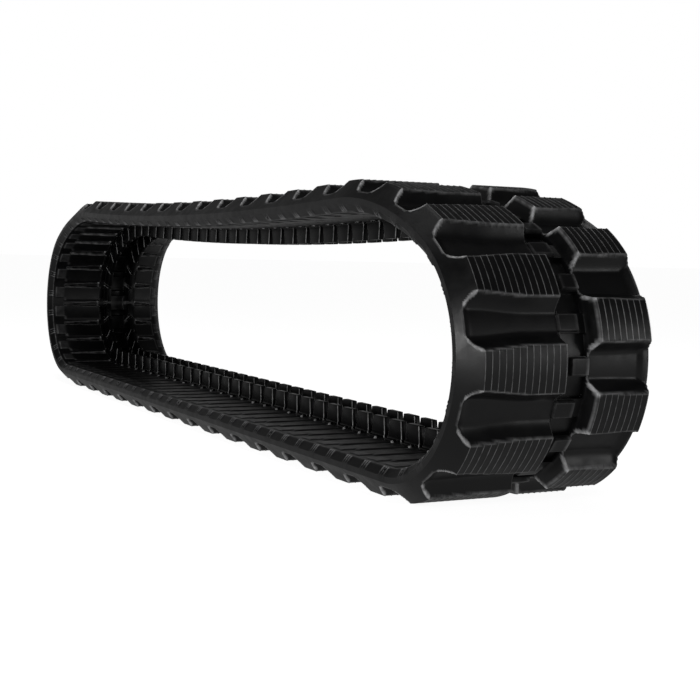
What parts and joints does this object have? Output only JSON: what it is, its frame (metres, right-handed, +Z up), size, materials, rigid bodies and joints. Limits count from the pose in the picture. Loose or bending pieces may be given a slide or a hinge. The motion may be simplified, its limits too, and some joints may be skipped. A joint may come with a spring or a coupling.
{
  "type": "rubber track",
  "caption": "Endless rubber track with steel cores, cord plies, guide horns and staggered block lugs, standing free, for a compact excavator's undercarriage.",
  "frame": {"origin": "middle of the track's footprint, on the ground under the lugs of the bottom run", "axes": "+X along the track, +Y across it towards the narrow side of the belt, +Z up"},
  "size_m": [2.7158, 0.4, 0.6026],
  "materials": {
    "tread_rubber": "semi-gloss moulded",
    "inner_rubber": "semi-gloss moulded",
    "core_steel": "black coated",
    "cord_steel": "brass plated cord"
  },
  "bodies": {
    "bottom_run": {"bottom_run_tread": "tread_rubber", "bottom_run_carcass": "inner_rubber", "bottom_run_cores": "core_steel", "bottom_run_cords": "cord_steel"},
    "front_bend_1": {"front_bend_1_tread": "tread_rubber", "front_bend_1_carcass": "inner_rubber", "front_bend_1_cores": "core_steel", "front_bend_1_cords": "cord_steel"},
    "front_bend_2": {"front_bend_2_tread": "tread_rubber", "front_bend_2_carcass": "inner_rubber", "front_bend_2_cores": "core_steel", "front_bend_2_cords": "cord_steel"},
    "front_bend_3": {"front_bend_3_tread": "tread_rubber", "front_bend_3_carcass": "inner_rubber", "front_bend_3_cores": "core_steel", "front_bend_3_cords": "cord_steel"},
    "front_bend_4": {"front_bend_4_tread": "tread_rubber", "front_bend_4_carcass": "inner_rubber", "front_bend_4_cores": "core_steel", "front_bend_4_cords": "cord_steel"},
    "front_bend_5": {"front_bend_5_tread": "tread_rubber", "front_bend_5_carcass": "inner_rubber", "front_bend_5_cores": "core_steel", "front_bend_5_cords": "cord_steel"},
    "top_run_front": {"top_run_front_tread": "tread_rubber", "top_run_front_carcass": "inner_rubber", "top_run_front_cores": "core_steel", "top_run_front_cords": "cord_steel"},
    "top_run_rear": {"top_run_rear_tread": "tread_rubber", "top_run_rear_carcass": "inner_rubber", "top_run_rear_cores": "core_steel", "top_run_rear_cords": "cord_steel"},
    "rear_bend_1": {"rear_bend_1_tread": "tread_rubber", "rear_bend_1_carcass": "inner_rubber", "rear_bend_1_cores": "core_steel", "rear_bend_1_cords": "cord_steel"},
    "rear_bend_2": {"rear_bend_2_tread": "tread_rubber", "rear_bend_2_carcass": "inner_rubber", "rear_bend_2_cores": "core_steel", "rear_bend_2_cords": "cord_steel"},
    "rear_bend_3": {"rear_bend_3_tread": "tread_rubber", "rear_bend_3_carcass": "inner_rubber", "rear_bend_3_cores": "core_steel", "rear_bend_3_cords": "cord_steel"},
    "rear_bend_4": {"rear_bend_4_tread": "tread_rubber", "rear_bend_4_carcass": "inner_rubber", "rear_bend_4_cores": "core_steel", "rear_bend_4_cords": "cord_steel"},
    "rear_bend_5": {"rear_bend_5_tread": "tread_rubber", "rear_bend_5_carcass": "inner_rubber", "rear_bend_5_cores": "core_steel", "rear_bend_5_cords": "cord_steel"}
  },
  "joints": [
    {"name": "front_foot_flex", "type": "hinge", "parent": "bottom_run", "child": "front_bend_1", "pos_m": [1.10968, 0, 0.04675], "axis": [0, -1, 0], "range_deg": [-8, 8], "stiffness_Nm_per_rad": 3000, "springref_deg": 1.33},
    {"name": "front_flex_1", "type": "hinge", "parent": "front_bend_1", "child": "front_bend_2", "pos_m": [1.23903, 0, 0.1069], "axis": [0, -1, 0], "range_deg": [-4.1, 4.1], "stiffness_Nm_per_rad": 3000, "springref_deg": -0.67},
    {"name": "front_flex_2", "type": "hinge", "parent": "front_bend_2", "child": "front_bend_3", "pos_m": [1.30873, 0, 0.23136], "axis": [0, -1, 0], "range_deg": [-4.1, 4.1], "stiffness_Nm_per_rad": 3000, "springref_deg": -0.67},
    {"name": "front_flex_3", "type": "hinge", "parent": "front_bend_3", "child": "front_bend_4", "pos_m": [1.29243, 0, 0.37308], "axis": [0, -1, 0], "range_deg": [-4.1, 4.1], "stiffness_Nm_per_rad": 3000, "springref_deg": -0.67},
    {"name": "front_flex_4", "type": "hinge", "parent": "front_bend_4", "child": "front_bend_5", "pos_m": [1.19629, 0, 0.47847], "axis": [0, -1, 0], "range_deg": [-4.1, 4.1], "stiffness_Nm_per_rad": 3000, "springref_deg": -0.67},
    {"name": "front_shoulder_flex", "type": "hinge", "parent": "front_bend_5", "child": "top_run_front", "pos_m": [1.06271, 0, 0.53401], "axis": [0, -1, 0], "range_deg": [-8.1, 8.1], "stiffness_Nm_per_rad": 3000, "springref_deg": 1.33},
    {"name": "rear_foot_flex", "type": "hinge", "parent": "bottom_run", "child": "rear_bend_5", "pos_m": [-1.06525, 0, 0.045], "axis": [0, -1, 0], "range_deg": [-7.34, 7.34], "stiffness_Nm_per_rad": 3000, "springref_deg": -1.21},
    {"name": "rear_flex_4", "type": "hinge", "parent": "rear_bend_5", "child": "rear_bend_4", "pos_m": [-1.20371, 0, 0.07994], "axis": [0, -1, 0], "range_deg": [-2.35, 2.35], "stiffness_Nm_per_rad": 3000, "springref_deg": 0.37},
    {"name": "rear_flex_3", "type": "hinge", "parent": "rear_bend_4", "child": "rear_bend_3", "pos_m": [-1.29586, 0, 0.18884], "axis": [0, -1, 0], "range_deg": [-4.24, 4.24], "stiffness_Nm_per_rad": 3000, "springref_deg": 0.69},
    {"name": "rear_flex_2", "type": "hinge", "parent": "rear_bend_3", "child": "rear_bend_2", "pos_m": [-1.30687, 0, 0.33106], "axis": [0, -1, 0], "range_deg": [-5.16, 5.16], "stiffness_Nm_per_rad": 3000, "springref_deg": 0.84},
    {"name": "rear_flex_1", "type": "hinge", "parent": "rear_bend_2", "child": "rear_bend_1", "pos_m": [-1.23259, 0, 0.45285], "axis": [0, -1, 0], "range_deg": [-3.61, 3.61], "stiffness_Nm_per_rad": 3000, "springref_deg": 0.58},
    {"name": "rear_shoulder_flex", "type": "hinge", "parent": "rear_bend_1", "child": "top_run_rear", "pos_m": [-1.10504, 0, 0.52032], "axis": [0, -1, 0], "range_deg": [-7.81, 7.81], "stiffness_Nm_per_rad": 3000, "springref_deg": -1.28}
  ],
  "couplings": [
    {"joint": "front_flex_1", "follows": "front_foot_flex", "ratio": -0.5},
    {"joint": "front_flex_2", "follows": "front_foot_flex", "ratio": -0.5},
    {"joint": "front_flex_3", "follows": "front_foot_flex", "ratio": -0.5},
    {"joint": "front_flex_4", "follows": "front_foot_flex", "ratio": -0.5},
    {"joint": "front_shoulder_flex", "follows": "front_foot_flex", "ratio": 1},
    {"joint": "rear_foot_flex", "follows": "front_foot_flex", "ratio": -0.905},
    {"joint": "rear_flex_4", "follows": "front_foot_flex", "ratio": 0.281},
    {"joint": "rear_flex_3", "follows": "front_foot_flex", "ratio": 0.517},
    {"joint": "rear_flex_2", "follows": "front_foot_flex", "ratio": 0.632},
    {"joint": "rear_flex_1", "follows": "front_foot_flex", "ratio": 0.438},
    {"joint": "rear_shoulder_flex", "follows": "front_foot_flex", "ratio": -0.963}
  ]
}
